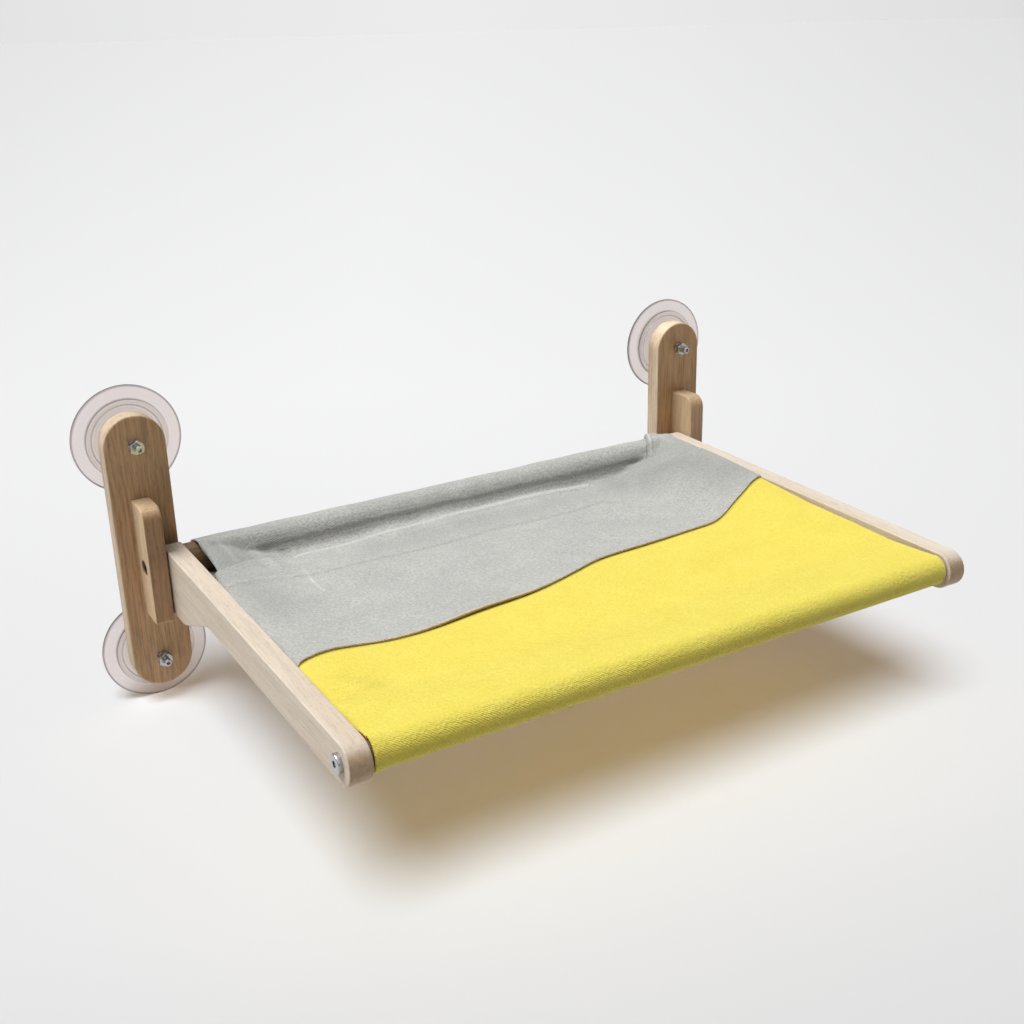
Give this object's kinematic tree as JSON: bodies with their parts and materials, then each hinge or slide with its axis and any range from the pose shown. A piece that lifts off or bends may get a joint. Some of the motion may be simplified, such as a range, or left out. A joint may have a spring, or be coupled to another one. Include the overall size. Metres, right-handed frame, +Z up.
{
  "type": "window mounted cat perch",
  "caption": "Cat perch held on a window pane by suction cups: wooden wall plates and arms, dowels and a two-colour cloth sling that folds up flat.",
  "frame": {"origin": "on the window glass, in the middle of the four suction cups", "axes": "+X along the perch to the right as seen from the room, +Y from the room into the glass, +Z up"},
  "size_m": [0.582, 0.3674, 0.254],
  "materials": {
    "plate_wood": "stained face, pale layered edge, satin varnish",
    "block_wood": "satin varnish",
    "arm_wood": "satin varnish, fine grain",
    "dowel_wood": "satin varnish",
    "cup_plastic": "clear soft plastic",
    "steel": "satin",
    "insert_brass": "plain",
    "grey_cloth": "soft matte, brushed",
    "yellow_cloth": "soft matte, brushed"
  },
  "bodies": {
    "wall_plates": {"left_wall_plate": "plate_wood", "right_wall_plate": "plate_wood", "left_hinge_block": "block_wood", "right_hinge_block": "block_wood", "suction_cup_top_left": "cup_plastic", "suction_cup_bottom_left": "cup_plastic", "suction_cup_top_right": "cup_plastic", "suction_cup_bottom_right": "cup_plastic", "cup_studs": "steel", "cup_washers": "steel", "cup_nuts": "steel", "block_screws": "steel"},
    "sling_frame": {"left_side_arm": "arm_wood", "right_side_arm": "arm_wood", "rear_dowel": "dowel_wood", "front_dowel": "dowel_wood", "rear_inserts": "insert_brass", "front_inserts": "insert_brass", "left_hinge_bolt": "steel", "right_hinge_bolt": "steel", "left_front_bolt": "steel", "right_front_bolt": "steel", "hinge_washers": "steel", "grey_panel": "grey_cloth", "yellow_panel": "yellow_cloth"}
  },
  "joints": [
    {"name": "fold", "type": "hinge", "parent": "wall_plates", "child": "sling_frame", "pos_m": [0, -0.037, -0.004], "axis": [-1, 0, 0], "range_deg": [0, 90]}
  ]
}
